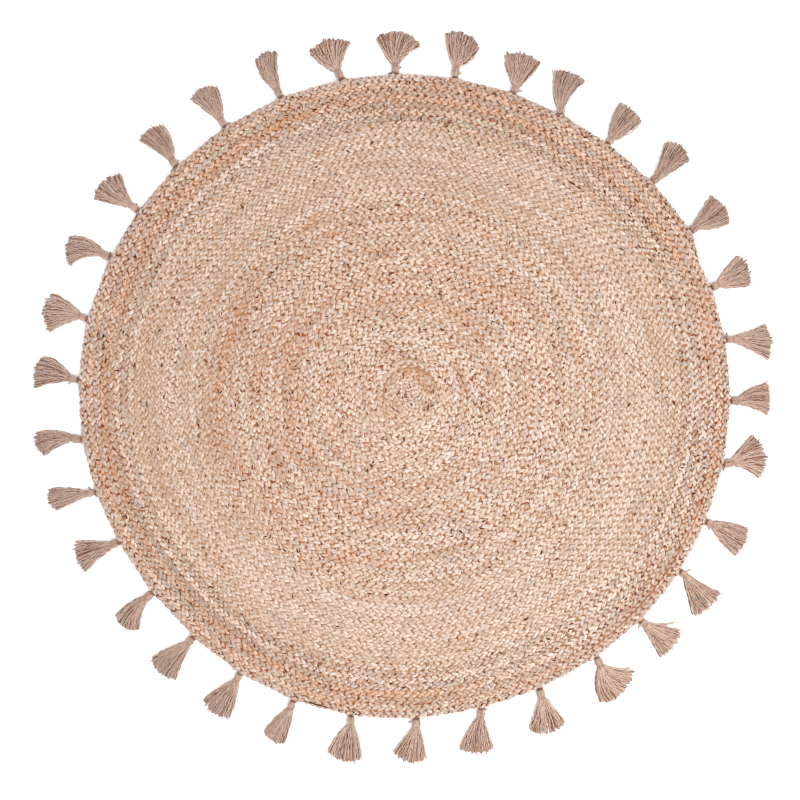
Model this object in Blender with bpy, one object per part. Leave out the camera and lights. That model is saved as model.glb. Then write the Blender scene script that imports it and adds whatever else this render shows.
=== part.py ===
"""Round braided jute rug, 1.2 m across, with thirty-four cotton tassels round its edge.

Metres, +Z up. The origin is the middle of the disc, on the floor that the rug lies on. Angles are in
degrees, anticlockwise from +X as seen from above. One long braid is wound clockwise from the middle
outwards and sewn to itself, so the disc is one flat piece and its edge is a little uneven.
"""
from collections import namedtuple

import bmesh
import bpy
import numpy as np

MM = 0.001

# The disc
RUG_RADIUS = 606.8 * MM       # to the outside of the last round, at the end of the braid
ROUND_WIDTH = 13 * MM         # the edge falls by one round in a turn anticlockwise from that end
RUG_THICKNESS = 9 * MM
BRAID_END = 30                # where the braid ends
END_TAPER = 7                 # the end tapers away over these degrees, clockwise
EDGE_STEPS = 360

Wave = namedtuple("Wave", "per_turn height_mm crest")
EDGE_WAVES = (
    Wave(1, 4.1, 297),
    Wave(2, 5.7, 336),
    Wave(3, 2.0, 57),
    Wave(4, 1.4, 345),
    Wave(5, 2.3, 163),
    Wave(6, 0.9, 103),
)
KNOT_PULL = 1.6 * MM          # each tassel's knot draws the last round out by this much
KNOT_PULL_REACH = 1.8         # over about these degrees to either side

# Rounded rim of the disc, from the underside up: how far in from the edge, and part of the thickness
RimRow = namedtuple("RimRow", "inset_mm up")
RIM = (
    RimRow(2.0, 0.0),
    RimRow(0.0, 0.24),
    RimRow(0.0, 0.7),
    RimRow(0.8, 0.92),
    RimRow(2.8, 1.0),
)

# The tassels, clockwise from the one at the top. edge is where the knot sits on the rug's edge. The neck
# is neck_mm long and leans to the right of straight out by lean. From its end the skirt opens to the left
# and right of straight out by left and right degrees. left_mm, middle_mm and right_mm are the lengths of
# its outer and middle yarns, and left_bow and right_bow are how far its sides swell past a straight
# line, in mm, or draw in where they are negative.
Tassel = namedtuple(
    "Tassel", "edge neck_mm lean left left_mm left_bow middle_mm right right_mm right_bow"
)
TASSELS = (
    Tassel(91.8, 19, 0, 36, 58, 1, 59, 56, 56, -4),
    Tassel(81.2, 23, -3, 28, 62, 2, 62, 40, 55, 3),
    Tassel(70.5, 14, 5, 40, 62, 1, 62, 26, 62, 1),
    Tassel(61.1, 12, -30, 38, 70, 6, 68, 13, 67, -4),
    Tassel(51.3, 12, -3, 26, 67, 5, 65, 21, 63, 2),
    Tassel(40.9, 13, -3, 36, 67, 0, 72, 13, 67, 0),
    Tassel(29.9, 13, -15, 34, 63, 1, 63, 25, 63, 3),
    Tassel(19.5, 15, -3, 38, 63, 2, 62, 21, 57, 2),
    Tassel(9.9, 15, 8, 16, 63, -1, 69, 40, 74, -2),
    Tassel(359.1, 15, 0, 34, 63, 3, 58, 26, 59, -4),
    Tassel(347.7, 19, -27, 68, 60, 0, 61, 20, 56, -5),
    Tassel(337.2, 14, 0, 17, 65, 3, 68, 30, 72, 4),
    Tassel(327.4, 14, 10, 8, 70, -3, 73, 46, 73, 1),
    Tassel(316.3, 14, 0, 36, 65, 0, 64, 22, 64, -1),
    Tassel(306.1, 19, 9, 46, 59, -6, 63, 38, 67, 6),
    Tassel(294.6, 19, 12, 19, 62, 0, 66, 46, 63, -4),
    Tassel(283.6, 18, 18, 9, 60, -1, 65, 50, 69, 3),
    Tassel(271.9, 18, 4, 17, 58, 1, 64, 45, 61, 0),
    Tassel(260.3, 18, -7, 27, 65, 2, 68, 32, 64, 4),
    Tassel(249.8, 19, 2, 11, 63, 2, 66, 29, 63, 3),
    Tassel(239.2, 16, -3, 22, 68, 1, 73, 31, 69, 1),
    Tassel(228.7, 17, 0, 22, 69, -1, 74, 28, 71, 2),
    Tassel(217.9, 19, -2, 43, 56, -4, 64, 9, 61, 4),
    Tassel(207.0, 16, 3, 19, 68, -3, 67, 34, 64, 1),
    Tassel(197.3, 20, 9, 13, 62, 0, 68, 25, 65, 2),
    Tassel(187.8, 23, 17, 28, 55, -3, 64, 18, 61, 5),
    Tassel(177.3, 18, 12, 19, 66, -2, 65, 37, 61, 6),
    Tassel(166.5, 17, 8, 43, 60, -2, 66, 26, 63, 4),
    Tassel(155.0, 19, 1, 46, 62, -7, 65, 6, 63, 8),
    Tassel(145.3, 20, 0, 26, 65, 1, 65, 38, 57, -2),
    Tassel(135.1, 18, 15, 16, 68, -1, 67, 30, 62, 7),
    Tassel(124.0, 19, 6, 22, 65, -1, 65, 28, 59, 3),
    Tassel(112.8, 19, 0, 16, 63, 4, 69, 24, 64, -3),
    Tassel(101.5, 20, -13, 45, 60, 4, 57, 38, 56, -2),
)
KNOT_GAP = 0.3 * MM           # between a tassel and the edge of the rug

Finish = namedtuple("Finish", "name colour roughness")
JUTE = Finish("natural_jute", (0.62, 0.46, 0.33), 0.85)
COTTON = Finish("taupe_cotton", (0.45, 0.33, 0.26), 0.9)
SHARP_EDGE = 40               # an edge that turns by more degrees than this is shaded sharp

# Sections along a neck, from the rug outwards: part of the neck's length, half width, height
NeckRow = namedtuple("NeckRow", "part half_width_mm height_mm")
NECK = (
    NeckRow(0.0, 4.0, 7.5),     # where the yarns come through the last round
    NeckRow(0.35, 6.5, 10.0),   # the knot
    NeckRow(0.7, 5.0, 8.5),
    NeckRow(1.0, 5.5, 9.0),     # the neck binding
)
# Sections along a skirt, from the neck to the cut ends: part of the yarns' length, height
SkirtRow = namedtuple("SkirtRow", "part height_mm")
SKIRT = (
    SkirtRow(0.22, 9.0),
    SkirtRow(0.55, 7.5),
    SkirtRow(1.0, 4.5),
)
# One section, once round: how far across, from -1 on the left to 1 on the right, and part of its height
SectionPoint = namedtuple("SectionPoint", "across up")
SECTION = (
    SectionPoint(-1.0, 0.0),
    SectionPoint(-1.0, 0.45),
    SectionPoint(-0.6, 0.88),
    SectionPoint(0.0, 1.0),
    SectionPoint(0.6, 0.88),
    SectionPoint(1.0, 0.45),
    SectionPoint(1.0, 0.0),
    SectionPoint(0.0, 0.0),
)


def clear_scene():
    for old in list(bpy.data.objects):
        bpy.data.objects.remove(old)


def make_material(finish):
    """A plain finish: colour, roughness, no metal."""
    material = bpy.data.materials.new(finish.name)
    material.use_nodes = True
    shader = material.node_tree.nodes["Principled BSDF"]
    shader.inputs["Base Color"].default_value = (*finish.colour, 1)
    shader.inputs["Roughness"].default_value = finish.roughness
    shader.inputs["Metallic"].default_value = 0
    return material


def edge_radius(degrees):
    """Distance from the middle to the edge of the rug.

    It is the radius at the braid's end, less what the spiral loses anticlockwise from there, plus the
    slow waves, plus a low bump at each knot. The last degrees before the end climb smoothly back.
    """
    degrees = np.asarray(degrees, float)
    turned = np.mod(degrees - BRAID_END, 360)
    climb = np.clip((turned - (360 - END_TAPER)) / END_TAPER, 0, 1)
    radius = RUG_RADIUS - ROUND_WIDTH * (turned / 360 - climb**2 * (3 - 2 * climb))
    for wave in EDGE_WAVES:
        radius = radius + wave.height_mm * MM * np.cos(np.radians(wave.per_turn * degrees - wave.crest))
    knots = np.array([tassel.edge for tassel in TASSELS])
    from_knot = np.abs(np.mod(degrees[..., None] - knots + 180, 360) - 180).min(axis=-1)
    return radius + KNOT_PULL * np.exp(-((from_knot / KNOT_PULL_REACH) ** 2))


def direction(degrees):
    """Unit vectors in the floor's plane, one for each angle."""
    turn = np.radians(np.asarray(degrees, float))
    return np.stack([np.cos(turn), np.sin(turn)], axis=-1)


def loft_rings(name, rings, material):
    """Make one closed solid: the first ring is filled, and that face is extruded on to each next ring.

    An extrusion leaves the face it started from, which closes the bottom. Further up it would be a wall
    across the inside, so there it is taken out.
    """
    shape = bmesh.new()
    bottom = top = shape.faces.new([shape.verts.new(point) for point in rings[0]])
    for ring in rings[1:]:
        below = top
        extruded = bmesh.ops.extrude_face_region(shape, geom=[below])["geom"]
        top = next(item for item in extruded if isinstance(item, bmesh.types.BMFace))
        for vert, point in zip(top.verts, ring):
            vert.co = point
        if below is not bottom:
            shape.faces.remove(below)
    bmesh.ops.recalc_face_normals(shape, faces=shape.faces[:])
    mesh = bpy.data.meshes.new(name)
    shape.to_mesh(mesh)
    shape.free()
    mesh.shade_smooth()
    mesh.set_sharp_from_angle(angle=np.radians(SHARP_EDGE))
    mesh.materials.append(material)
    piece = bpy.data.objects.new(name, mesh)
    bpy.context.collection.objects.link(piece)
    return piece


def make_rug(material):
    """The disc: its uneven outline, drawn in and raised row by row up the rounded rim."""
    degrees = np.arange(EDGE_STEPS) * 360 / EDGE_STEPS
    outline = edge_radius(degrees)
    rings = np.empty((len(RIM), EDGE_STEPS, 3))
    for ring, row in zip(rings, RIM):
        ring[:, :2] = direction(degrees) * (outline - row.inset_mm * MM)[:, None]
        ring[:, 2] = row.up * RUG_THICKNESS
    return loft_rings("braided_rug", rings, material)


def knot_section(tassel, across, half_width):
    """Points along the rug's edge at a knot, the gap outside it, from left to right."""
    degrees = tassel.edge - np.degrees(across * half_width / edge_radius(tassel.edge))
    return direction(degrees) * (edge_radius(degrees) + KNOT_GAP)[:, None]


def neck_sections(tassel, across):
    """Sections of the neck in the floor's plane: a straight axis that leans, set off to either side."""
    start = direction(tassel.edge) * (edge_radius(tassel.edge) + KNOT_GAP)
    ahead = direction(tassel.edge - tassel.lean)
    to_right = direction(tassel.edge - tassel.lean - 90)
    sections = [knot_section(tassel, across, NECK[0].half_width_mm * MM)]
    for row in NECK[1:]:
        centre = start + ahead * (row.part * tassel.neck_mm * MM)
        sections.append(centre + to_right * (across * row.half_width_mm * MM)[:, None])
    return sections


def skirt_sections(tassel, across, root):
    """Sections of the skirt in the floor's plane.

    Each yarn runs from its root at the end of the neck to its own cut end, along a straight line that
    swells sideways as a parabola. Its turn, its length and its swell change evenly from left to right.
    """
    right_share = (1 + across) / 2
    turn = tassel.right * right_share - tassel.left * (1 - right_share)
    bow = (tassel.right_bow * right_share - tassel.left_bow * (1 - right_share)) * MM
    outer_length = tassel.right_mm * right_share + tassel.left_mm * (1 - right_share)
    outer_mean = (tassel.left_mm + tassel.right_mm) / 2
    length = (outer_length + (tassel.middle_mm - outer_mean) * (1 - across**2)) * MM
    neck_end = direction(tassel.edge) * (edge_radius(tassel.edge) + KNOT_GAP)
    neck_end = neck_end + direction(tassel.edge - tassel.lean) * (tassel.neck_mm * MM)
    cut_ends = neck_end + direction(tassel.edge - turn) * length[:, None]
    to_right = direction(tassel.edge - turn - 90)
    sections = []
    for row in SKIRT:
        swell = bow * 4 * row.part * (1 - row.part)
        sections.append(root * (1 - row.part) + cut_ends * row.part + to_right * swell[:, None])
    return sections


def make_tassel(name, tassel, material):
    """One tassel lying flat on the floor: its neck and then its skirt, each section as high as listed."""
    across = np.array([point.across for point in SECTION])
    up = np.array([point.up for point in SECTION])
    flat = neck_sections(tassel, across)
    flat += skirt_sections(tassel, across, flat[-1])
    heights = [row.height_mm * MM for row in NECK + SKIRT]
    rings = np.empty((len(flat), len(SECTION), 3))
    rings[:, :, :2] = flat
    rings[:, :, 2] = np.outer(heights, up)
    return loft_rings(name, rings, material)


def main():
    clear_scene()
    make_rug(make_material(JUTE))
    cotton = make_material(COTTON)
    for number, tassel in enumerate(TASSELS, start=1):
        make_tassel(f"tassel_{number:02d}", tassel, cotton)


main()
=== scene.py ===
# %% [markdown]
# # A round jute rug with cotton tassels
#
# The rug is one long braid of three jute strands, wound clockwise from the middle and sewn to
# itself, with thirty-four cotton tassels tied to its edge. The plain solids that we load fix the
# size and place of everything. This lesson makes what one sees: the strands, the yarns, their
# colours and the light.

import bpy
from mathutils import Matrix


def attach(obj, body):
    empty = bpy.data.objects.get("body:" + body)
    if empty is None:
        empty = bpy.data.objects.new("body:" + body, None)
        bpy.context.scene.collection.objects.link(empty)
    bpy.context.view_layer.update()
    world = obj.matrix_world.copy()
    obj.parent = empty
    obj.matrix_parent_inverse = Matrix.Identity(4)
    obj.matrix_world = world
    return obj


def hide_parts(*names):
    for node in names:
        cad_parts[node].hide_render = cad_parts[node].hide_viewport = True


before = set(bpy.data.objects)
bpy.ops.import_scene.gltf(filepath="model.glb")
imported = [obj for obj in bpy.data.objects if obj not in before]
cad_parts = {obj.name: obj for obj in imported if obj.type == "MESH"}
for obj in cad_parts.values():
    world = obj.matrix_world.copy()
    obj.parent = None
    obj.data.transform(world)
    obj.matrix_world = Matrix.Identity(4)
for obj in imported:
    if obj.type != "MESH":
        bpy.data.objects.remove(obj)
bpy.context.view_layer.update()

# %% [markdown]
# We work with whole arrays of numbers, so numpy does the shaping and Blender receives finished
# meshes. All chances come from one seeded source, and the rug is the same rug on every run. What
# was measured or chosen row by row stands in small tables.

# %% Tools and units
from collections import namedtuple

import bpy
import numpy as np
from mathutils import Vector

MM = 0.001
SEED = 34
LOWEST = 0.05 * MM  # nothing dips nearer to the floor than this
chance = np.random.default_rng(SEED)


def table(columns, *rows):
    """Rows whose places have the names in columns."""
    Row = namedtuple("Row", columns)
    return [Row(*row) for row in rows]


def field_of(rows, field):
    """One column of a table."""
    return np.array([getattr(row, field) for row in rows])


def put(name, data):
    """An object with this data, put into the scene."""
    made = bpy.data.objects.new(name, data)
    bpy.context.collection.objects.link(made)
    return made

# %% [markdown]
# ## The camera
#
# The rug was photographed from straight above. One could guess a lens and move the camera until
# the picture fits, but here the size of a pixel on the rug is known, so the height above the
# floor follows from the lens alone.

# %% Camera
PIXEL = 1.8547 * MM  # real size of one pixel of the photograph, on top of the rug
DISC_MIDDLE_PX = (405.8, 395.6)
IMAGE_SIDE_PX = 800
LENS_MM, SENSOR_MM = 50, 36
RUG_TOP = 8 * MM

camera_data = bpy.data.cameras.new("camera")
camera_data.lens, camera_data.sensor_width = LENS_MM, SENSOR_MM
camera = put("camera", camera_data)
camera.location = (
    (IMAGE_SIDE_PX / 2 - DISC_MIDDLE_PX[0]) * PIXEL,
    (DISC_MIDDLE_PX[1] - IMAGE_SIDE_PX / 2) * PIXEL,
    RUG_TOP + IMAGE_SIDE_PX * PIXEL * LENS_MM / SENSOR_MM,
)
bpy.context.scene.camera = camera
print("camera", tuple(camera.location))

# %% [markdown]
# ## From a grid of points to a mesh
#
# Strands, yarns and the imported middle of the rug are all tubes: a closed ring of points carried
# along a path. Blender could sweep a curve, but a grid of points that we work out ourselves lets
# the ring change its width and height all along, as a squeezed strand does. One helper turns such
# grids into a mesh.

# %% Skin a grid of tubes
def skin(name, grid, along, girth, material, **spots):
    """Mesh of closed tubes from points grid[tube, ring, place round the ring].

    Each point is joined to the next one round its ring and to the same one on the next ring, and
    the first and last rings are closed. The UV map "thread" has metres along the tube as u and
    metres round it as v. Each of spots is a number per tube and ring, kept as an attribute.
    """
    tubes, rings, sides = grid.shape[:3]
    here = np.arange(tubes * rings * sides).reshape(tubes, rings, sides)
    beside = np.roll(here, -1, axis=2)
    quads = np.stack([here[:, :-1], here[:, 1:], beside[:, 1:], beside[:, :-1]], axis=-1)
    quads = quads.reshape(-1, 4)
    caps = np.concatenate([here[:, 0], here[:, -1, ::-1]])
    corners = np.concatenate([quads.ravel(), caps.ravel()])
    sizes = np.concatenate([np.full(len(quads), 4), np.full(len(caps), sides)])

    mesh = bpy.data.meshes.new(name)
    mesh.vertices.add(here.size)
    mesh.vertices.foreach_set("co", grid.astype(np.float32).ravel())
    mesh.loops.add(len(corners))
    mesh.loops.foreach_set("vertex_index", corners.astype(np.int32))
    mesh.polygons.add(len(sizes))
    mesh.polygons.foreach_set("loop_start", (np.cumsum(sizes) - sizes).astype(np.int32))

    turn = np.arange(sides + 1) / sides
    u = np.broadcast_to(along[:, :, None], (tubes, rings, sides + 1))
    v = girth[:, :, None] * turn
    uv = np.stack([u, v], axis=-1)
    quad_uv = np.stack([uv[:, :-1, :-1], uv[:, 1:, :-1], uv[:, 1:, 1:], uv[:, :-1, 1:]], axis=-2)
    cap_uv = np.concatenate([uv[:, 0, :-1], uv[:, -1, -2::-1]])
    layer = mesh.uv_layers.new(name="thread")
    all_uv = np.concatenate([quad_uv.reshape(-1, 2), cap_uv.reshape(-1, 2)])
    layer.data.foreach_set("uv", all_uv.astype(np.float32).ravel())

    for spot, value in spots.items():
        attribute = mesh.attributes.new(spot, "FLOAT", "POINT")
        every_point = np.repeat(np.asarray(value, np.float32).ravel(), sides)
        attribute.data.foreach_set("value", every_point)
    mesh.update(calc_edges=True)
    mesh.shade_smooth()
    mesh.materials.append(material)
    piece = put(name, mesh)
    print(name, "has", len(quads) * 2 + len(caps) * (sides - 2), "triangles")
    return piece


def wander(tubes, rings, every, size):
    """Slow chance along each tube: random values every few rings, joined by straight lines."""
    knots = chance.normal(0, size, (tubes, rings // every + 2))
    place = np.arange(rings) / every
    low = place.astype(int)
    part = place - low
    return knots[:, low] * (1 - part) + knots[:, low + 1] * part

# %% [markdown]
# ## The edge and the spiral
#
# The braid is wound round and round, so its path is a spiral that steps outwards by one braid
# width in each turn. The edge isn't a true circle. We read it from the plain disc and let its
# unevenness fade towards the middle, because a hand-sewn rug starts true and drifts as it grows.

# %% Read the edge from the plain disc
BRAID_END = 30  # degrees anticlockwise from +X, where the braid ends
END_TAPER = 7  # the end tapers away over these degrees, clockwise
RUG_RADIUS = 606.8 * MM  # to the outside of the last round, at the braid's end
LAST_ROUND = 13 * MM  # width of the last round
NEAR_RIM = 0.5  # metres from the middle: only corners of the rim lie further out

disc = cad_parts["braided_rug"].data
corners = np.empty(len(disc.vertices) * 3)
disc.vertices.foreach_get("co", corners)
corners = corners.reshape(-1, 3)
rim_degrees = np.mod(np.round(np.degrees(np.arctan2(corners[:, 1], corners[:, 0]))), 360)
rim_radius = np.hypot(corners[:, 0], corners[:, 1])
known_degrees = np.unique(rim_degrees[rim_radius > NEAR_RIM])
known_edge = np.array([rim_radius[rim_degrees == degree].max() for degree in known_degrees])
edge = np.interp(np.arange(360), known_degrees, known_edge, period=360)


def smooth_step(part):
    """0 below 0, 1 above 1, and an S-shaped rise between."""
    part = np.clip(part, 0, 1)
    return part**2 * (3 - 2 * part)


def direction(degrees):
    """Level unit vectors, one for each angle."""
    turn = np.radians(np.asarray(degrees, float))
    return np.stack([np.cos(turn), np.sin(turn)], axis=-1)


def edge_at(degrees):
    """The edge's distance from the middle, between whole degrees as well."""
    return np.interp(np.mod(degrees, 360), np.arange(361), np.append(edge, edge[0]))


def unevenness(degrees):
    """How far the edge stands out from a true spiral of that radius and that step."""
    turned = np.mod(degrees - BRAID_END, 360)
    end = smooth_step((turned - (360 - END_TAPER)) / END_TAPER)
    return edge_at(degrees) - (RUG_RADIUS - LAST_ROUND * (turned / 360 - end))


print("edge from", edge.min(), "to", edge.max())

# %% [markdown]
# The rounds aren't all equally wide. They were counted in the photograph along a few radii, and
# the widths between are read off a line. Adding up one over the width gives the number of rounds,
# and adding up the length of each small step over the length of a swing gives the swings of the
# strands. The same table says where the maker's hand was less even.

# %% Wind the spiral
ROUND_WIDTHS = table(
    "radius_mm width_mm swing_mm stray_mm",
    # swing: along the braid, from one grain of a strand to its next on the same side
    # stray: how far the strands stray from their even places
    (0, 7.5, 24, 0.28), (24, 8, 24, 0.3), (36, 12, 36, 0.36), (60, 13, 39.2, 0.4),
    (140, 13.2, 39.2, 0.4), (232, 14.1, 39.2, 0.4), (325, 13.2, 39.2, 0.38),
    (400, 12.6, 39.2, 0.32), (510, 12.25, 39.2, 0.32), (550, 12.5, 39.2, 0.48),
    (607, 13, 39.2, 0.5),
)
START_RADIUS = 5.5 * MM  # outside of the braid's first bend
RADIUS_STEP = 0.1 * MM
END_STEPS = 40


def at_radius(radius, field):
    """A field of ROUND_WIDTHS in metres, read off a line between its rows."""
    rows = field_of(ROUND_WIDTHS, "radius_mm") * MM
    return np.interp(radius, rows, field_of(ROUND_WIDTHS, field) * MM)


radius = np.arange(RUG_RADIUS, START_RADIUS, -RADIUS_STEP)
width = at_radius(radius, "width_mm")
step = np.append(0, -np.diff(radius) / width[1:])
rounds_in = np.cumsum(step)  # 0 at the braid's end, growing inwards
end_in = np.linspace(-END_TAPER / 360, 0, END_STEPS, endpoint=False)
end_width = LAST_ROUND * smooth_step(1 + end_in * 360 / END_TAPER)
end_radius = np.interp(end_in + 1, rounds_in, radius) + end_width
rounds_in = np.append(end_in, rounds_in)
radius = np.append(end_radius, radius)
width = np.append(end_width, width)
mid_radius = radius - width / 2
lengths = np.hypot(np.gradient(rounds_in) * 2 * np.pi * mid_radius, np.gradient(mid_radius))
swings_to_end = np.cumsum(lengths / at_radius(radius, "swing_mm"))
BRAID_SWINGS = swings_to_end[-1]
print("braid of", lengths.sum(), "m with", BRAID_SWINGS, "swings in", rounds_in[-1], "rounds")

# %% [markdown]
# ## The strands
#
# In a flat three-strand braid each strand swings from side to side and passes over the middle and
# then under it. Seen from above, every strand comes up near the middle, lies on top as a plump
# grain that slants out to one edge, folds over there and comes back below. The other two strands
# do the same a third of the way on, and the grains make the familiar rows of arrows, as tight as
# a basket.
#
# Half of that path is written down here as five rings. The other half is the same to the other
# side. A round ring would leave wide grooves between the grains, so a ring has a broad flat top,
# steep sides and a keel below.

# %% One strand's path and section
HALF_SWING = table(
    "along out slant up half_width half_height",
    # along: part of half a swing; out and half_width: parts of the braid's width; slant: degrees
    (-0.14, -0.12, 33, 3.6, 0.22, 2.2),  # below, on the way over from the other side
    (0.01, 0.04, 34, 6.5, 0.27, 2.2),  # the grain comes up over the middle
    (0.17, 0.18, 33, 7, 0.288, 2.1),  # and lies on top
    (0.34, 0.31, 30, 6.8, 0.275, 2.2),  # out towards the edge
    (0.5, 0.41, 16, 6, 0.205, 2.3),  # where it folds over and goes under
)
SECTION = np.array([(1, 0), (0.76, 1), (-0.76, 1), (-1, 0), (0, -1)])
STRANDS = 3
SWING = 39.2 * MM  # length of a usual swing
STOPS_SHORT = 0.75  # swings left free at the end, where the strands stop a third apart
UNEVEN_PACE = 0.030  # of a swing: how early or late a grain may come

half_swings = int((BRAID_SWINGS - STOPS_SHORT) * 2)
column = {
    field: np.tile(field_of(HALF_SWING, field), half_swings) for field in HALF_SWING[0]._fields
}
swing_side = np.repeat(np.where(np.arange(half_swings) % 2 == 0, 1, -1), len(HALF_SWING))
from_start = (np.repeat(np.arange(half_swings), len(HALF_SWING)) + column["along"]) / 2
strand = np.arange(STRANDS)[:, None]
rings = len(from_start)
swings = from_start + strand / STRANDS + wander(STRANDS, rings, 5, UNEVEN_PACE)
metres = swings * SWING
print(half_swings, "half swings,", rings * STRANDS, "rings")

# %% [markdown]
# A strand's place is found from the swings before it: the spiral gives the angle and the radius
# there, and the swing moves it out or in and up or down. A little slow chance in the width, the
# height, the slant and the place keeps the grains from looking cast.

# %% Place the strands along the spiral
SEWN_IN = 1.2 * MM  # the last rounds are sewn a little tighter than the plain disc
FULL_WIDTH = 10 * MM  # the strands of a narrower braid are thinner
RAISED = 2.0 * MM  # and are lifted by up to this, to lie as high as the others
STRAY_UP, STRAY_WIDTH, STRAY_SLANT = 0.7, 0.18, 24  # mm, parts, degrees for each mm of straying
STRAY_THICKNESS = 0.03
GIRTH = 5.0  # length round a ring, over the root of its squared halves' sum
TOP = 9.6 * MM

to_end = BRAID_SWINGS - swings
in_at = np.interp(to_end, swings_to_end, rounds_in)
outside = np.interp(to_end, swings_to_end, radius)
broad = np.interp(to_end, swings_to_end, width)
degrees = BRAID_END + 360 * in_at
middle = outside - broad / 2 + (unevenness(degrees) - SEWN_IN) * (outside / RUG_RADIUS) ** 2
slimmer = np.minimum(broad / FULL_WIDTH, 1)
stray = at_radius(outside, "stray_mm")
out = swing_side * column["out"] * broad + wander(STRANDS, rings, 3, 1) * stray
height = column["up"] * MM + RAISED * (1 - slimmer) + wander(STRANDS, rings, 3, STRAY_UP) * stray
plump = 1 + wander(STRANDS, rings, 3, STRAY_WIDTH) * stray / MM
half_width = column["half_width"] * broad * plump
thicker = 1 + wander(STRANDS, rings, 5, STRAY_THICKNESS)
half_height = column["half_height"] * MM * slimmer * thicker
slant = column["slant"] * swing_side + wander(STRANDS, rings, 3, STRAY_SLANT) * stray / MM
slant = np.radians(slant)
strand_girth = GIRTH * np.sqrt(half_width**2 + half_height**2)


def strand_rings():
    """Ring points round the strands' centres.

    With A ahead along the braid, O outwards and a slant S, a strand's right-hand side is
    sin(S) A - cos(S) O. A point of the section stands half_width times its first number to that
    side and half_height times its second number up.
    """
    outwards = direction(degrees)
    ahead = outwards[..., ::-1] * (1, -1)
    to_side = np.sin(slant)[..., None] * ahead - np.cos(slant)[..., None] * outwards
    flat = outwards * (middle + out)[..., None]
    flat = flat[:, :, None] + to_side[:, :, None] * half_width[..., None, None] * SECTION[:, :1]
    up = height[..., None] + half_height[..., None] * SECTION[:, 1]
    return np.concatenate([flat, np.clip(up, LOWEST, TOP)[..., None]], axis=-1)


strand_grid = strand_rings()
print("strands reach", np.abs(strand_grid).max(axis=(0, 1, 2)))

# %% [markdown]
# ## Where the colours lie
#
# The maker joined differently dyed and bleached jute as the braid grew, so colour follows the
# rounds. We count rounds from the edge and write down how golden, grey, pale and rough each one
# is. Shorter stretches are arcs with an angle.

# %% Colour by round and by arc
BANDS = table(
    "rounds_in gold grey pale rough",
    # rough: how restless the colours are, and how wide and dark the painted shade in the gaps is
    (0.5, 0, 0.5, -0.6, 1.2), (1.5, 0.65, 0, -0.15, 1.2), (2.5, 0, 0.35, -0.55, 1.2),
    (3.5, 0.9, 0, -0.1, 1.2), (4.5, 0.1, 0.55, -0.6, 1.25), (5.5, 0, 0, 0.2, 1),
    (6.5, 0, 0.45, -0.5, 1), (7.5, 0.2, 0, 0.05, 0.6), (8.5, 0.08, 0, -0.02, 0.3),
    (9.5, 0.12, 0, 0.02, 0.25), (16, 0.06, 0, -0.05, 0.3), (20, 0.22, 0, -0.05, 0.8),
    (30, 0.3, 0, 0, 0.95), (40, 0.3, 0, 0.2, 0.6), (46, 0.3, 0.1, 0.2, 0.6),
)
ARCS = table(
    "radius_px half_px middle_degrees half_degrees gold grey pale",
    # the last three are broad: the first is painted shade on the left, the second painted light
    # on the lower right, and the third tints the right edge
    (296, 5, 315, 60, -0.75, 0, 0.45), (290, 5, 225, 32, 0.1, 0.5, -0.6),
    (302, 4, 222, 20, 0.1, 0.6, -0.5), (275, 4, 75, 45, 0, 0.5, -0.3),
    (275, 4, 238, 16, 0, 0.5, -0.6), (293, 4, 78, 18, 0.6, 0, -0.8), (24, 5, 14, 14, 1, 0, -1.2),
    (21, 5, 52, 45, 1, 0, -0.6), (28, 4, 62, 30, 0.5, 0, -0.4), (23, 4, 333, 13, 0.6, 0, -1.6),
    (13, 4, 222, 30, 0.7, 0, -0.6), (15, 5, 60, 50, 0.45, 0, 0.6), (16, 5, 350, 30, 0.35, 0, 0.6),
    (48, 4, 113, 9, 0.6, 0, -0.9), (57, 4, 18, 18, 0.6, 0, -0.5), (65, 4, 51, 6, 0.9, 0, -0.4),
    (78, 4, 170, 10, 1, 0, -0.4), (86, 4, 103, 6, 0, 0.4, -1.2), (88, 4, 11, 5, 0.1, 0.3, -1.2),
    (94, 4, 82, 50, 0.6, 0, -0.2), (103, 4, 180, 8, 0.8, 0, -0.5), (103, 4, 142, 8, 0.6, 0, -0.9),
    (112, 9, 85, 30, 0.25, 0, -0.1), (114, 4, 217, 6, 0.1, 0.2, -1.2),
    (127, 4, 155, 12, 0.6, 0, -0.3), (128, 4, 205, 12, 0.5, 0, -0.3),
    (141, 6, 62, 18, 0.5, 0, -0.4), (142, 4, 136, 8, 0.6, 0, -0.8), (145, 4, 209, 7, 0.3, 0, -1.5),
    (172, 5, 222, 14, 0.9, 0, -0.4), (170, 4, 257, 9, 0.8, 0, -0.3), (178, 4, 245, 6, 0.6, 0, -0.9),
    (177, 4, 100, 30, 0.6, 0, -0.3), (197, 4, 185, 12, 0.6, 0, -0.7),
    (197, 4, 120, 9, 0.6, 0, -0.5), (212, 4, 150, 7, 0.5, 0, -0.7), (89, 4, 38, 4, 0, 0.5, -0.6),
    (105, 4, 40, 5, 0, 0.5, -1), (120, 4, 193, 5, 0.4, 0, -0.8), (143, 4, 100, 5, 0, 0.5, -1),
    (158, 4, 280, 5, 0, 0.5, -0.8), (168, 4, 108, 4, 0.2, 0.2, -1.2),
    (175, 4, 10, 10, 0.7, 0, -0.3), (185, 5, 172, 28, 0.3, 0, -0.5),
    (203, 4, 275, 10, 0.3, 0, -0.6), (300, 4, 185, 10, 0.7, 0, -0.4),
    (298, 4, 102, 18, 0.6, 0, -0.3), (301, 4, 275, 10, 0.7, 0, -0.5),
    (310, 4, 15, 15, 0.7, 0, -0.3), (312, 4, 322, 8, 0.1, 0.3, -0.9),
    (205, 70, 180, 42, 0.1, 0, -0.35), (190, 130, 322, 70, -0.22, 0.05, 0.05),
    (305, 25, 335, 50, -0.15, 0.1, 0.1),
)
print(len(BANDS), "bands and", len(ARCS), "arcs")

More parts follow.
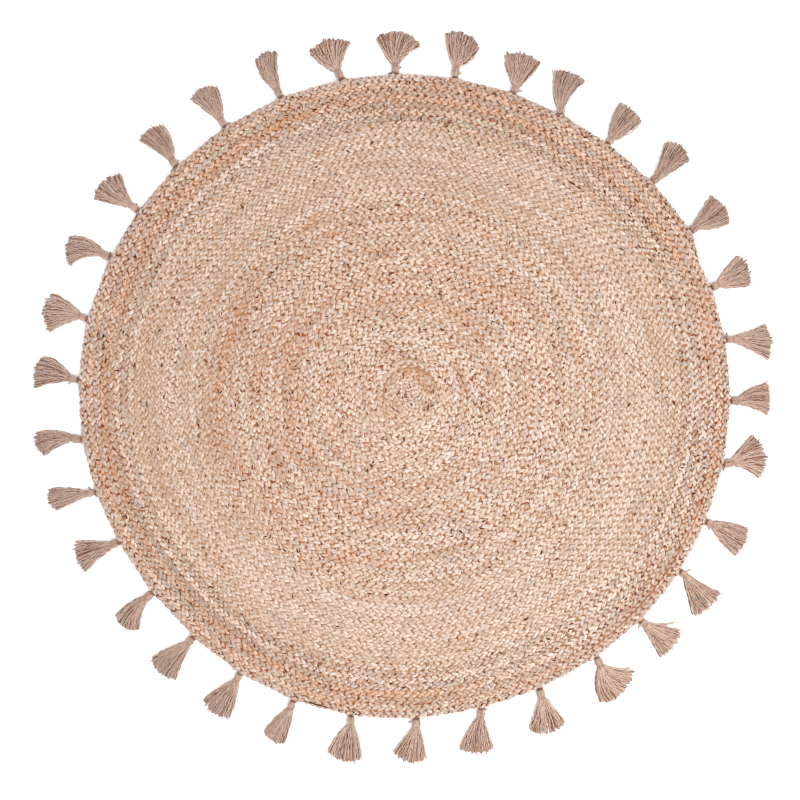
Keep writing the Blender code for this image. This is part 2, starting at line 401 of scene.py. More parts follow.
# %% [markdown]
# The tables become four numbers on the strands, which the material reads. Chance adds slow drifts
# along the braid, so that no round is all one colour.

# %% Four numbers for each ring of the strands
JOINED_OVER = 0.08  # part of a turn over which one colour gives way to the next
DRIFTS = table(
    "field long_m long_size short_m short_size",
    # long drifts are shared by the three strands, and each strand has its own short ones
    ("gold", 0.35, 0.17, 0.08, 0.27), ("grey", 0.3, 0.08, 0.1, 0.08),
    ("pale", 0.45, 0.23, 0.08, 0.32),
)
ROUGH_DRIFT_M, ROUGH_DRIFT = 0.25, 0.28
GRAIN_PALENESS = 0.36  # how much one grain differs from the next
DULLEST, PALEST, ROUGHEST = -2.5, 2, 1.6


def from_bands(rounds, field):
    """Read off BANDS. Each turn keeps one value and joins the next one's in its last degrees."""
    turn = np.floor(rounds)
    turn = turn + 0.5 + smooth_step((rounds - turn - 1 + JOINED_OVER) / JOINED_OVER)
    return np.interp(turn, field_of(BANDS, "rounds_in"), field_of(BANDS, field))


def colour_of_rounds(field):
    """A number for each ring of the strands: read off BANDS, with each arc's share added to it.

    An arc's share fades like a bell to both sides of its radius and to both ends of its angle.
    """
    value = from_bands(in_at, field)
    for arc in ARCS:
        off_radius = (middle / PIXEL - arc.radius_px) / arc.half_px
        off_angle = (np.mod(degrees - arc.middle_degrees + 180, 360) - 180) / arc.half_degrees
        value = value + getattr(arc, field) * np.exp(-(off_radius**2) - off_angle**4)
    return value


def drift(every_m, size, shared):
    """Slow chance: a random value each every_m metres of braid, with a smooth rise or fall between.

    The three strands drift together where shared is true, and each by itself where it isn't.
    """
    knots = chance.normal(0, size, (1 if shared else STRANDS, int(metres.max() / every_m) + 3))
    place = np.clip(metres, 0, None) / every_m
    low = place.astype(int)
    part = smooth_step(place - low)
    line = 0 if shared else strand
    return knots[line, low] * (1 - part) + knots[line, low + 1] * part


def coloured(row, restless):
    """What rounds and arcs say, plus the row's long drifts, plus restless times its short ones."""
    value = colour_of_rounds(row.field) + drift(row.long_m, row.long_size, True)
    return value + restless * drift(row.short_m, row.short_size, False)


rough = from_bands(in_at, "rough")
restless = 0.7 + 0.5 * rough  # calm rounds drift as well, but less
gold, grey, pale = (coloured(row, 1 if row.field == "grey" else restless) for row in DRIFTS)
gold, grey = np.clip(gold, 0, 1), np.clip(grey, 0, 1)
grain = np.repeat(chance.normal(0, GRAIN_PALENESS, (STRANDS, half_swings)), len(HALF_SWING), axis=1)
pale = np.clip(pale + grain * (0.5 + 0.5 * rough), DULLEST, PALEST)
rough = np.clip(rough + drift(ROUGH_DRIFT_M, ROUGH_DRIFT, True), 0, ROUGHEST)
print("gold", gold.mean(), "grey", grey.mean(), "pale", pale.mean(), "rough", rough.mean())

# %% [markdown]
# ## Dyes and nodes
#
# A finish is a graph of nodes. One can click it together in the shader editor, but with a helper
# for each kind of step it reads as a few lines of noises, ramps and mixes. Its shades have plain
# names.

# %% Small helpers for materials
SHADES = {
    # the jute strands, and the painted shade in the gaps between their grains
    "tan": "BE9E88", "bleached": "EAD9CF", "ashen": "BFAFA7", "straw": "BC9170", "dull": "A8836D",
    "golden": "C4854A", "grey": "9D8D83", "shade in a closed gap": "B89270", "shade in an open gap": "A85C20",
    "shade in a golden gap": "BC5E12", "corner": "6C2A04",
    # bark
    "thin bark": "BC9676", "brown bark": "924410", "dark bark": "481600",
    # the jute between the strands, with painted shade in its pits
    "calm shade": "A47A58", "calm light": "BC9878", "rough shade": "A8703C",
    "rough light": "C29870", "pit": "642806",
    # cotton; its brown is also the painted shade of the lower yarns
    "brown yarn and painted shade": "925F42", "pale yarn": "DDBFAD", "bloom": "B48F7B", "binding": "A0683A",
}
DARKER = 0.80  # the light is strong, so a dye is darker than it looks in the picture
print(len(SHADES), "shades")


def new_material(name):
    """A material, its tree of nodes (on which the helpers below work) and its shader."""
    material = bpy.data.materials.new(name)
    material.use_nodes = True
    return material, material.node_tree, material.node_tree.nodes["Principled BSDF"]


def set_inputs(made, inputs):
    """Give a node constants or other nodes' outputs as its inputs."""
    for name, value in inputs.items():
        if isinstance(value, bpy.types.NodeSocket):
            tree.links.new(value, made.inputs[name])
        else:
            made.inputs[name].default_value = value


def node(kind, out, inputs, **settings):
    """The output out of a new node with these inputs and settings."""
    made = tree.nodes.new("ShaderNode" + kind)
    for name, value in settings.items():
        setattr(made, name, value)
    set_inputs(made, inputs)
    return made.outputs[out]


def spot(name):
    """One of the numbers that skin kept on the points."""
    return node("Attribute", "Fac", {}, attribute_name=name)


def dye(name):
    """The linear colour of a shade, which is written as it is seen in the picture.

    A part s of full brightness becomes ((s + 0.055) / 1.055) to the power 2.4, times DARKER.
    """
    shade = np.array([int(SHADES[name][i:i + 2], 16) for i in (0, 2, 4)]) / 255
    linear = np.where(shade <= 0.04045, shade / 12.92, ((shade + 0.055) / 1.055) ** 2.4)
    return (*[float(x) * DARKER for x in linear], 1.0)


def mixed(amount, first, second):
    """first where amount is 0, second where it is 1."""
    return node("Mix", 2, {0: amount, 6: first, 7: second}, data_type="RGBA")


def times(first, second):
    """first multiplied by second."""
    return node("Math", 0, {0: first, 1: second}, operation="MULTIPLY")


def plus(first, second, share=1.0):
    """first and a share of second."""
    return node("Math", 0, {0: first, 1: times(second, share)}, operation="ADD")


def ramped(value, low, high):
    """0 where value is at or under low, 1 at or over high, and a smooth rise between."""
    inputs = {"Value": value, "From Min": low, "From Max": high}
    return node("MapRange", "Result", inputs, interpolation_type="SMOOTHSTEP")


def streaks(where, scale, detail=2.0):
    """Noise round 0.5. scale is its waves a metre each way, so that one way can be longer."""
    stretched = node("Mapping", "Vector", {"Vector": where, "Scale": scale})
    return node("TexNoise", "Fac", {"Vector": stretched, "Scale": 1.0, "Detail": detail})

# %% [markdown]
# ## The jute finish
#
# Jute is a bundle of pale, shiny fibres with tan and orange streaks that run along the strand.
# Lower on the strands, in the gaps between the grains, the colour turns to a dark, warm painted
# shade. The material reads the UV map along the strand for fibres and streaks, the height above the
# floor for the painted shade in the gaps, and our four numbers.
# An image of jute would repeat and slide over the grains. Noise along the thread follows each of
# them.

# %% Jute
FULL_SHADE_HEIGHT, NO_SHADE_HEIGHT = 7.5 * MM, 8.2 * MM  # below the first the gaps are in painted shade, above the second the grains keep their own colour
OPEN_SHADE_CLIMB = 0.15 * MM  # in open gaps the painted shade climbs this much higher
PALE_SHARE, ROUGH_SHARE, CORNER_SHARE = 0.13, 0.24, 0.14  # how far each shifts its noise

jute, tree, shader = new_material("jute_strands")
thread = node("UVMap", "UV", {}, uv_map="thread")
place = node("TexCoord", "Object", {})
above_floor = node("SeparateXYZ", "Z", {"Vector": place})
gold_here, grey_here, pale_here, rough_here = map(spot, ("gold", "grey", "pale", "rough"))

tone = streaks(thread, (200, 420, 1), 3.0)
hue = streaks(thread, (34, 60, 1))
lengthwise = streaks(thread, (170, 480, 1), 4.0)
fibres = streaks(thread, (150, 1300, 1), 3.0)
gap_shade_noise = streaks(place, (65, 65, 65), 1.0)
pit_shade_noise = streaks(place, (210, 210, 210), 1.0)

# the grains: tan to bleached, then streaks of other shades, then the golden and the grey rounds
paled = plus(tone, pale_here, PALE_SHARE)
base = mixed(ramped(paled, 0.32, 0.66), dye("tan"), dye("bleached"))
base = mixed(ramped(hue, 0.54, 0.70), base, dye("ashen"))
base = mixed(ramped(lengthwise, 0.50, 0.70), base, dye("straw"))
dulled = times(ramped(fibres, 0.50, 0.66), 0.65)
base = mixed(dulled, base, dye("dull"))
golden = times(gold_here, ramped(lengthwise, 0.40, 0.68))
base = mixed(golden, base, dye("golden"))
greyed = times(grey_here, ramped(tone, 0.66, 0.34))
base = mixed(greyed, base, dye("grey"))

# the painted shade in the gaps, low on the strands: wider and deeper where the rug is rough,
# golden in golden rounds, and darkest in the pits where three strands meet
open_gap_shade = ramped(plus(gap_shade_noise, rough_here, ROUGH_SHARE), 0.56, 0.80)
above_gap_shade = ramped(plus(above_floor, open_gap_shade, -OPEN_SHADE_CLIMB), FULL_SHADE_HEIGHT, NO_SHADE_HEIGHT)
gap_shade = mixed(open_gap_shade, dye("shade in a closed gap"), dye("shade in an open gap"))
golden_gap_shade = times(gold_here, ramped(rough_here, 0.2, 0.9))
gap_shade = mixed(golden_gap_shade, gap_shade, dye("shade in a golden gap"))
# the darkest painted shade, in the pits where three strands meet
corners = plus(pit_shade_noise, open_gap_shade, CORNER_SHARE)
gap_shade = mixed(ramped(corners, 0.62, 0.71), gap_shade, dye("corner"))
base = mixed(above_gap_shade, gap_shade, base)

raised = plus(lengthwise, fibres, 0.8)
bump = node("Bump", "Normal", {"Height": raised, "Strength": 0.8, "Distance": 0.9 * MM})
dullness = node("MapRange", "Result", {"Value": fibres, "To Min": 0.5, "To Max": 0.75})
set_inputs(shader, {
    "Base Color": base, "Normal": bump, "Roughness": dullness, "Specular IOR Level": 0.28,
    "Sheen Weight": 0.12, "Sheen Roughness": 0.4,
})
print("jute has", len(tree.nodes), "nodes")

# %% [markdown]
# ## The braid as four pieces
#
# A mesh of the whole braid would be heavy to handle, so it is cut into four lengths. Each length
# starts and ends one ring early or late with a thin ring that hides inside its neighbour, so no
# cut shows.

# %% Make the braid
BRAID_PIECES = ("braid_middle", "braid_inner_rounds", "braid_outer_rounds", "braid_edge_rounds")
cuts = np.linspace(0, rings, len(BRAID_PIECES) + 1).astype(int)
HIDDEN_RING = 0.45  # size of the thin ring at a cut, over that of the ring it was
OWN_STREAKS = 0.013  # metres by which each strand's streaks are shifted along it
for name, first, last in zip(BRAID_PIECES, cuts[:-1], cuts[1:]):
    span = slice(max(first - 1, 0), min(last + 2, rings))
    grid = strand_grid[:, span].copy()
    for end in (0, -1):
        heart = grid[:, end].mean(axis=1, keepdims=True)
        grid[:, end] = heart + (grid[:, end] - heart) * HIDDEN_RING
    shifted = metres[:, span] + strand * OWN_STREAKS
    piece = skin(name, grid, shifted, strand_girth[:, span], jute,
                 gold=gold[:, span], grey=grey[:, span], pale=pale[:, span], rough=rough[:, span])
    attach(piece, "root")
    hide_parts("braided_rug")

# %% [markdown]
# ## Flecks of bark
#
# Jute fibre keeps specks of the dark bark that it was stripped from. They are thin slivers that
# lie in the top of the strands, mostly along the fibres, and some stretches of the braid have
# many. A noise in the material could darken the strands in places, but a real sliver has a clean
# edge and its own turn. Each sliver is a short flat tube, set on the crown of a grain that is
# drawn by chance.

# %% Make the flecks
BARK_FLECKS = 1400
FLECK_RING = np.array([(-1.0, 0.25), (-0.4, 1.0), (0.4, 0.85), (1.0, 0.2)])  # along, width
FLECK_SECTION = np.array([(1, 0), (0.4, 0.6), (-0.5, 0.6), (-1, 0), (0, -1)])
FLECK_HALF_MM, FLECK_LONGER_MM = 1.1, 3.4  # half length of the smallest, and what the largest adds
FLECK_WIDTH_MM, FLECK_WIDER_MM = 0.85, 0.75
FLECK_THICK, FLECK_TOP, FLECK_GIRTH = 0.45 * MM, 9.9 * MM, 2 * MM
CROWD_M, OUTSIDE_CROWDS, IN_CALM_ROUNDS = 0.25, 0.6, 0.1  # flecks crowd in places
OFF_FIBRES = 0.45  # radians by which a fleck lies askew
OFF_CROWN = (1.8 * MM, 1.5 * MM)  # aside and along

bark, tree, shader = new_material("bark")
darkness = spot("darkness")
base = mixed(ramped(darkness, 0.0, 0.5), dye("thin bark"), dye("brown bark"))
base = mixed(ramped(darkness, 0.4, 1.0), base, dye("dark bark"))
set_inputs(shader, {"Base Color": base, "Roughness": 1.0, "Specular IOR Level": 0.0})

crowns = np.flatnonzero(column["along"] == HALF_SWING[2].along)
crowded = np.clip(drift(CROWD_M, 1.0, True)[0, crowns], 0, None) + OUTSIDE_CROWDS
crowded = crowded * (rough[0, crowns] + IN_CALM_ROUNDS)
fleck_at = chance.choice(crowns, BARK_FLECKS, p=crowded / crowded.sum())
fleck_strand = chance.integers(0, STRANDS, BARK_FLECKS)
fleck_size = chance.uniform(0.25, 1.0, BARK_FLECKS) ** 2
fleck_half = (FLECK_HALF_MM + FLECK_LONGER_MM * fleck_size) * MM
fleck_width = (FLECK_WIDTH_MM + FLECK_WIDER_MM * fleck_size) * MM
heading = np.radians(degrees[fleck_strand, fleck_at] - 90) + slant[fleck_strand, fleck_at]
heading = heading + chance.normal(0, OFF_FIBRES, BARK_FLECKS)
forward = np.stack([np.cos(heading), np.sin(heading)], axis=-1)
aside = np.stack([forward[:, 1], -forward[:, 0]], axis=-1)
crown = strand_grid[fleck_strand, fleck_at, 1:3].mean(axis=1)
for way, off in zip((aside, forward), OFF_CROWN):
    crown[:, :2] += way * chance.normal(0, off, (BARK_FLECKS, 1))
along = FLECK_RING[:, 0] * fleck_half[:, None]
across = (FLECK_RING[:, 1] * fleck_width[:, None])[..., None] * FLECK_SECTION[:, 0]
flat = crown[:, None, None, :2] + forward[:, None, None] * along[..., None, None]
flat = flat + aside[:, None, None] * across[..., None]
level = crown[:, None, None, 2:] + FLECK_SECTION[:, 1:] * FLECK_THICK
level = np.broadcast_to(np.clip(level, LOWEST, FLECK_TOP), (*flat.shape[:3], 1))
darkness = 0.20 + 0.45 * chance.random(BARK_FLECKS) + 0.45 * fleck_size  # large ones are darker
bark_flecks = skin(
    "bark_flecks", np.concatenate([flat, level], axis=-1), along, np.full(along.shape, FLECK_GIRTH),
    bark, darkness=np.broadcast_to(darkness[:, None], along.shape),
)
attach(bark_flecks, "root")
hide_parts("braided_rug")

# %% [markdown]
# ## The imported middle
#
# Between the strands one looks down on more jute, never on the floor. A disc below their tops
# fills the gaps: dull where the rug is calm, warm where it is rough, and with dark dots of painted
# shade in its pits. It is the rug's body as a sheet.

# %% Packed middle of the rug
packed, tree, shader = new_material("packed_jute")
place = node("TexCoord", "Object", {})
rough_here = spot("rough")
patches = ramped(streaks(place, (260, 260, 1)), 0.35, 0.65)
calm = mixed(patches, dye("calm shade"), dye("calm light"))
base = mixed(patches, dye("rough shade"), dye("rough light"))
base = mixed(ramped(rough_here, 0.3, 0.9), calm, base)
# dark dots of painted shade in the pits where three strands meet
pit_shade = streaks(place, (190, 190, 1), 1.0)
pit_shade = plus(pit_shade, rough_here, 0.10)
base = mixed(ramped(pit_shade, 0.60, 0.68), base, dye("pit"))
set_inputs(shader, {"Base Color": base, "Roughness": 0.85})

PACKED_RINGS = table(
    "part height_mm",
    (0.01, 3.4), (0.5, 3.4), (0.99, 3.4), (1, 4.5), (0.99, 7.3), (0.93, 7.3), (0.88, 7.3),
    (0.84, 7.3), (0.7, 7.3), (0.5, 7.3), (0.3, 7.3), (0.01, 7.3),
)
PACKED_INSET = 2.8 * MM
packed_degrees = -np.arange(0, 360, 2)  # clockwise, so that the faces point outwards
reach = edge_at(packed_degrees) - PACKED_INSET
part = field_of(PACKED_RINGS, "part")[:, None]
grid = np.empty((1, len(part), len(reach), 3))
grid[..., :2] = (part * reach)[..., None] * direction(packed_degrees)
grid[..., 2] = field_of(PACKED_RINGS, "height_mm")[:, None] * MM
no_thread = np.zeros(grid.shape[:2])
packed_rounds = np.interp(part[:, 0] * RUG_RADIUS, radius[::-1], rounds_in[::-1])
packed_rough = from_bands(packed_rounds, "rough")
packed_sheet = skin("packed_middle", grid, no_thread, no_thread + 1, packed,
                    rough=packed_rough[None])
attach(packed_sheet, "root")
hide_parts("braided_rug")

# %% [markdown]
# ## The tassels
#
# A tassel is a bunch of cotton yarns, tied to the rug's edge by a small knot, swollen to a head,
# bound at the neck and cut off square. Each was laid on the floor by hand and fans out its own
# way, so a table says for every one where its knot is, how its neck leans, and how its skirt
# opens.

# %% How each tassel lies
TASSELS = table(
    "edge neck_mm lean left left_mm left_bow middle_mm right right_mm right_bow",
    (91.8, 19, 0, 36, 58, 1, 59, 56, 56, -4), (81.2, 23, -3, 28, 62, 2, 62, 40, 55, 3),
    (70.5, 14, 5, 40, 62, 1, 62, 26, 62, 1), (61.1, 12, -30, 38, 70, 6, 68, 13, 67, -4),
    (51.3, 12, -3, 26, 67, 5, 65, 21, 63, 2), (40.9, 13, -3, 36, 67, 0, 72, 13, 67, 0),
    (29.9, 13, -15, 34, 63, 1, 63, 25, 63, 3), (19.5, 15, -3, 38, 63, 2, 62, 21, 57, 2),
    (9.9, 15, 8, 16, 63, -1, 69, 40, 74, -2), (359.1, 15, 0, 34, 63, 3, 58, 26, 59, -4),
    (347.7, 19, -27, 68, 60, 0, 61, 20, 56, -5), (337.2, 14, 0, 17, 65, 3, 68, 30, 72, 4),
    (327.4, 14, 10, 8, 70, -3, 73, 46, 73, 1), (316.3, 14, 0, 36, 65, 0, 64, 22, 64, -1),
    (306.1, 19, 9, 46, 59, -6, 63, 38, 67, 6), (294.6, 19, 12, 19, 62, 0, 66, 46, 63, -4),
    (283.6, 18, 18, 9, 60, -1, 65, 50, 69, 3), (271.9, 18, 4, 17, 58, 1, 64, 45, 61, 0),
    (260.3, 18, -7, 27, 65, 2, 68, 32, 64, 4), (249.8, 19, 2, 11, 63, 2, 66, 29, 63, 3),
    (239.2, 16, -3, 22, 68, 1, 73, 31, 69, 1), (228.7, 17, 0, 22, 69, -1, 74, 28, 71, 2),
    (217.9, 19, -2, 43, 56, -4, 64, 9, 61, 4), (207, 16, 3, 19, 68, -3, 67, 34, 64, 1),
    (197.3, 20, 9, 13, 62, 0, 68, 25, 65, 2), (187.8, 23, 17, 28, 55, -3, 64, 18, 61, 5),
    (177.3, 18, 12, 19, 66, -2, 65, 37, 61, 6), (166.5, 17, 8, 43, 60, -2, 66, 26, 63, 4),
    (155, 19, 1, 46, 62, -7, 65, 6, 63, 8), (145.3, 20, 0, 26, 65, 1, 65, 38, 57, -2),
    (135.1, 18, 15, 16, 68, -1, 67, 30, 62, 7), (124, 19, 6, 22, 65, -1, 65, 28, 59, 3),
    (112.8, 19, 0, 16, 63, 4, 69, 24, 64, -3), (101.5, 20, -13, 45, 60, 4, 57, 38, 56, -2),
)
print(len(TASSELS), "tassels")

# %% [markdown]
# Every yarn is a tube along its own path. Through the neck it keeps its share of the width. In
# the skirt it runs straight to its own cut end, with a sideways swell as a parabola.

# %% Paths of the yarns
NECK = table(
    "part half_width_mm height_mm",
    (0.02, 3.4, 6.5),  # inside the knot
    (0.22, 5.3, 8.6),
    (0.5, 7, 9.6),  # the head
    (0.84, 5.6, 8.6),  # under the binding
    (1, 6.1, 8.2),
)
SKIRT = table(
    "part height_mm",
    (0.09, 8.3), (0.18, 8), (0.27, 7.8), (0.36, 7.4), (0.45, 7), (0.54, 6.7), (0.63, 6.3),
    (0.72, 6), (0.81, 5.6), (0.9, 5.2), (1, 4.8),
)
YARNS = 72
YARN_SIDES = 3
YARN_RADIUS = 1.0 * MM
NECK_YARN_RADIUS = 0.65 * MM
CRINKLE, NECK_CRINKLE = 0.7 * MM, 0.45 * MM  # how unevenly the yarns run in the skirt and the neck
HEAD_SIZES = (0.9, 1.15)
NECK_ROUND = 0.75  # how much nearer to the middle height the neck's outer yarns lie
CUT_FLATTER = 0.25  # and how much nearer the skirt's layers come at the cut
KNOT_OUT = 0.5 * MM


def knot_place(tassel):
    """The point on the rug's edge where this tassel is tied."""
    return direction(tassel.edge) * (edge_at(tassel.edge) + KNOT_OUT)


def yarn_paths(tassel, across, level, turn, length, bow):
    """Centre points [yarn, row] of yarns.

    across is from -1 on the left to 1 on the right, and level from -1 at the bottom to 1 on top.
    turn and length place the cut end. A skirt's point at a part p of the way is
    root (1 - p) + cut end p, and bow 4 p (1 - p) to the side.
    """
    start = knot_place(tassel)
    ahead = direction(tassel.edge - tassel.lean)
    to_right = direction(tassel.edge - tassel.lean - 90) * chance.uniform(*HEAD_SIZES)
    neck_end = start + ahead * tassel.neck_mm * MM
    root = neck_end + to_right * (across * NECK[-1].half_width_mm * MM)[:, None]
    cut_end = neck_end + direction(tassel.edge - turn) * length[:, None]
    sideways = direction(tassel.edge - turn - 90)
    rounded = np.sqrt(1 - NECK_ROUND * across**2)
    crinkle = chance.normal(0, CRINKLE, (len(SKIRT), 2, len(across), 1))
    neck_crinkle = chance.normal(0, NECK_CRINKLE, (len(NECK), 2, len(across)))
    rows = []
    for row, (bend, lift) in zip(NECK, neck_crinkle):
        flat = start + ahead * row.part * tassel.neck_mm * MM
        flat = flat + to_right * (across * row.half_width_mm * MM + bend)[:, None]
        half = row.height_mm * MM / 2
        rows.append((flat, half + (half - NECK_YARN_RADIUS) * level * rounded + lift))
    for row, (bend, lift) in zip(SKIRT, crinkle):
        flat = root * (1 - row.part) + cut_end * row.part
        flat = flat + sideways * ((bow * 4 * row.part * (1 - row.part))[:, None] + bend)
        half = row.height_mm * MM / 2
        flatter = 1 - CUT_FLATTER * row.part
        rows.append((flat, half + (half - YARN_RADIUS) * level * flatter + lift[:, 0]))
    return np.stack([np.column_stack([flat, high]) for flat, high in rows], axis=1)


# %% [markdown]
# Yarns cling to each other in locks: a slow wave in the spacing gathers them. Every second one
# lies underneath and is left evenly spaced, so no floor shows through.

# %% The yarns of one skirt
GAP_EVENNESS = 2.5
LOCKS = (5, 10)  # from 5 up to 9 locks in a skirt
GATHERED = 0.35
LOWER, UPPER, LAYER_SPREAD = -0.7, 0.85, 0.22
RAGGED = 2.3 * MM  # unevenness of the cut, of which the locks and the yarns have shares
LOCK_SHARE, YARN_SHARE = 0.5, 0.6
LONG_YARNS, LONGER_MM = 0.12, (1, 4)  # a few yarns are cut too long
OWN_BOW, OWN_TURN = 0.5 * MM, 1.0


def fan_of_yarns(tassel):
    """across, level, turn, length and bow of each yarn.

    With x across, a yarn is moved by sin(pi locks x) / (pi locks). Its turn, length and bow are
    read off between the tassel's two sides, with the middle's length as a parabola in x.
    """
    gaps = chance.gamma(GAP_EVENNESS, 1.0, YARNS)
    across = 2 * (np.cumsum(gaps) - gaps[0]) / (gaps.sum() - gaps[0]) - 1
    locks = chance.integers(*LOCKS)
    start = chance.uniform(0, 2 * np.pi)
    gathered = across + GATHERED * np.sin(np.pi * locks * across + start) / (np.pi * locks)
    below = np.arange(YARNS) % 2 == 1
    gathered = np.where(below, np.linspace(-1, 1, YARNS), np.clip(gathered, -1, 1))
    level = np.where(below, LOWER, UPPER) + chance.normal(0, LAYER_SPREAD, YARNS)
    level = np.clip(level, -1, 1)
    right_share = (1 + gathered) / 2
    turn = tassel.right * right_share - tassel.left * (1 - right_share)
    bow = (tassel.right_bow * right_share - tassel.left_bow * (1 - right_share)) * MM
    outer = tassel.right_mm * right_share + tassel.left_mm * (1 - right_share)
    middle_more = tassel.middle_mm - (tassel.left_mm + tassel.right_mm) / 2
    length = (outer + middle_more * (1 - gathered**2)) * MM
    lock_wave = np.sin(np.pi * locks * across + chance.uniform(0, 2 * np.pi))
    length = length + lock_wave * LOCK_SHARE * RAGGED
    length = length + chance.normal(0, YARN_SHARE, YARNS) * RAGGED
    too_long = chance.random(YARNS) < LONG_YARNS
    length = length + too_long * chance.uniform(*LONGER_MM, YARNS) * MM
    bow = bow + chance.normal(0, OWN_BOW, YARNS)
    return np.clip(across, -1, 1), level, turn + chance.normal(0, OWN_TURN, YARNS), length, bow

# %% [markdown]
# A strong thread is wound round the neck, and another ties the tassel to the last round. Both are
# a helix on an ellipse round the neck, pressed flat where it meets the floor. Two short arcs go
# into the last round, ends of the tie stick out beside many knots, and a few yarns have strayed.

# %% Windings, tie ends and stray yarns
WINDINGS = table(
    "part turns half_width_mm height_mm rise_mm thick_mm tone",
    (0.04, 3, 4.2, 8, 1.4, 0.85, -0.4),
    (0.8, 3, 6.3, 9.2, 0.9, 0.5, 0.5),
)
WINDING_STEPS, TIE_STEPS, FOOT_STEPS = 34, 6, 8
TIE_RADIUS, TIE_TONES = 1.6 * MM, (0.2, 0.9)
TIE_HEIGHT_MM, TIE_DROOP_MM, TIE_BEND = 5.5, 4.2, 1.4
FOOT_RADIUS, FOOT_TONES = 0.9 * MM, (-0.8, 0.4)
FOOT_HALF_MM, FOOT_OUT_MM, FOOT_ASIDE_MM = (2.5, 5.0), (2.0, 4.5), (1.5, 3.0)
FOOT_HEIGHT_MM, FOOT_ARCH_MM, FOOT_IN = 5.5, 2.6, 1.5 * MM
TIE_ENDS = table(
    "tassel side_mm out_mm from_mm",
    (1, -13, 2, 2), (1, 11, 13, 8), (2, 11, 12, 6), (3, 15, 11, 4), (5, 9, 8, 3), (7, 10, 24, 16),
    (8, 8, 5, 2), (9, -13, 5, 2), (10, 9, 14, 6), (11, 11, 4, 2), (12, 12, 13, 5), (13, -13, 15, 9),
    (14, 15, 8, 3), (17, -10, 6, 2), (18, 16, 7, 5), (24, -8, 9, 8), (25, -9, 2, 1),
    (25, 14, 11, 6), (27, -9, 19, 10), (29, 10, 4, 2), (30, 9, 10, 5), (31, -13, 1, 1),
    (31, 12, 6, 3), (32, 14, 1, 6), (34, 4, 12, 4), (34, 8, 3, 1),
)
STRAYS = table(
    "tassel turn length_mm bow_mm",
    (2, 45, 50, 6), (3, -44, 50, -2), (4, -41, 72, -1), (5, 24, 62, 6), (14, -50, 58, 3),
    (14, -47, 50, 2), (15, -50, 54, 5), (16, 47, 60, 0), (16, 49, 57, -1), (33, -26, 44, -2),
    (34, -49, 58, 0),
)
print(len(TIE_ENDS), "tie ends and", len(STRAYS), "strays")


def winding_path(tassel, winding):
    """Centre points of a helix: round the neck as an ellipse, and on along the neck as it turns."""
    turn = np.linspace(0, 2 * np.pi * winding.turns, WINDING_STEPS)
    ahead = direction(tassel.edge - tassel.lean)
    to_right = direction(tassel.edge - tassel.lean - 90)
    on = winding.part * tassel.neck_mm + winding.rise_mm * turn / (2 * np.pi)
    half = winding.height_mm / 2
    flat = knot_place(tassel) + ahead * (on * MM)[:, None]
    flat = flat + to_right * (winding.half_width_mm * MM * np.cos(turn))[:, None]
    high = np.maximum((half + (half - winding.thick_mm) * np.sin(turn)), winding.thick_mm) * MM
    return np.column_stack([flat, high])


def tie_path(tassel, tie):
    """Centre points of a loose end: out of the knot to the side, drooping to the floor."""
    part = np.linspace(0, 1, TIE_STEPS)
    ahead, to_right = direction(tassel.edge), direction(tassel.edge - 90)
    on = tie.from_mm + (tie.out_mm - tie.from_mm) * part**TIE_BEND
    flat = knot_place(tassel) + ahead * (on * MM)[:, None]
    flat = flat + to_right * (tie.side_mm * part * MM)[:, None]
    return np.column_stack([flat, (TIE_HEIGHT_MM - TIE_DROOP_MM * part**2) * MM])


def foot_paths(tassel):
    """Two arcs where the tassel's thread goes into the last round: half ellipses along the edge."""
    turn = np.linspace(0, np.pi, FOOT_STEPS)
    ahead, to_right = direction(tassel.edge), direction(tassel.edge - 90)
    paths = []
    for side in (-1, 1):
        half, out = chance.uniform(*FOOT_HALF_MM), chance.uniform(*FOOT_OUT_MM)
        middle = knot_place(tassel) + to_right * side * chance.uniform(*FOOT_ASIDE_MM) * MM
        flat = middle - ahead * FOOT_IN + to_right * (half * MM * np.cos(turn))[:, None]
        flat = flat + ahead * (out * MM * np.sin(turn))[:, None]
        paths.append(np.column_stack([flat, (FOOT_HEIGHT_MM + FOOT_ARCH_MM * np.sin(turn)) * MM]))
    return np.stack(paths)


def tubes_round(centre, thick):
    """Tubes along paths [tube, row], with rings square to the path, also where it climbs.

    A ring's point is the centre plus thick times cos(t) side and sin(t) up, with side level and
    square to the path, and up square to both.
    """
    ahead = np.gradient(centre, axis=-2)
    ahead /= np.linalg.norm(ahead, axis=-1, keepdims=True)
    side = np.cross(ahead, (0, 0, 1))
    side /= np.maximum(np.linalg.norm(side, axis=-1, keepdims=True), 1e-6)
    up = np.cross(side, ahead)
    turn = np.arange(YARN_SIDES) * 2 * np.pi / YARN_SIDES + np.pi / 2
    grid = centre[..., None, :] + side[..., None, :] * (thick[..., None] * np.cos(turn))[..., None]
    grid = grid + up[..., None, :] * (thick[..., None] * np.sin(turn))[..., None]
    grid[..., 2] = np.maximum(grid[..., 2], LOWEST)
    return grid


def path_lengths(centre):
    """Metres along each path, at each of its rows."""
    steps = np.linalg.norm(np.diff(centre, axis=-2), axis=-1)
    return np.concatenate([np.zeros_like(steps[..., :1]), np.cumsum(steps, axis=-1)], axis=-1)

# %% [markdown]
# ## The cotton finish
#
# The yarns are soft two-ply cotton in a greyish tan. Each yarn is a little lighter or darker than
# the next, the lower ones darker still with painted shade, the plies show as fine slanting ridges,
# and cotton has a faint bloom at its edges.

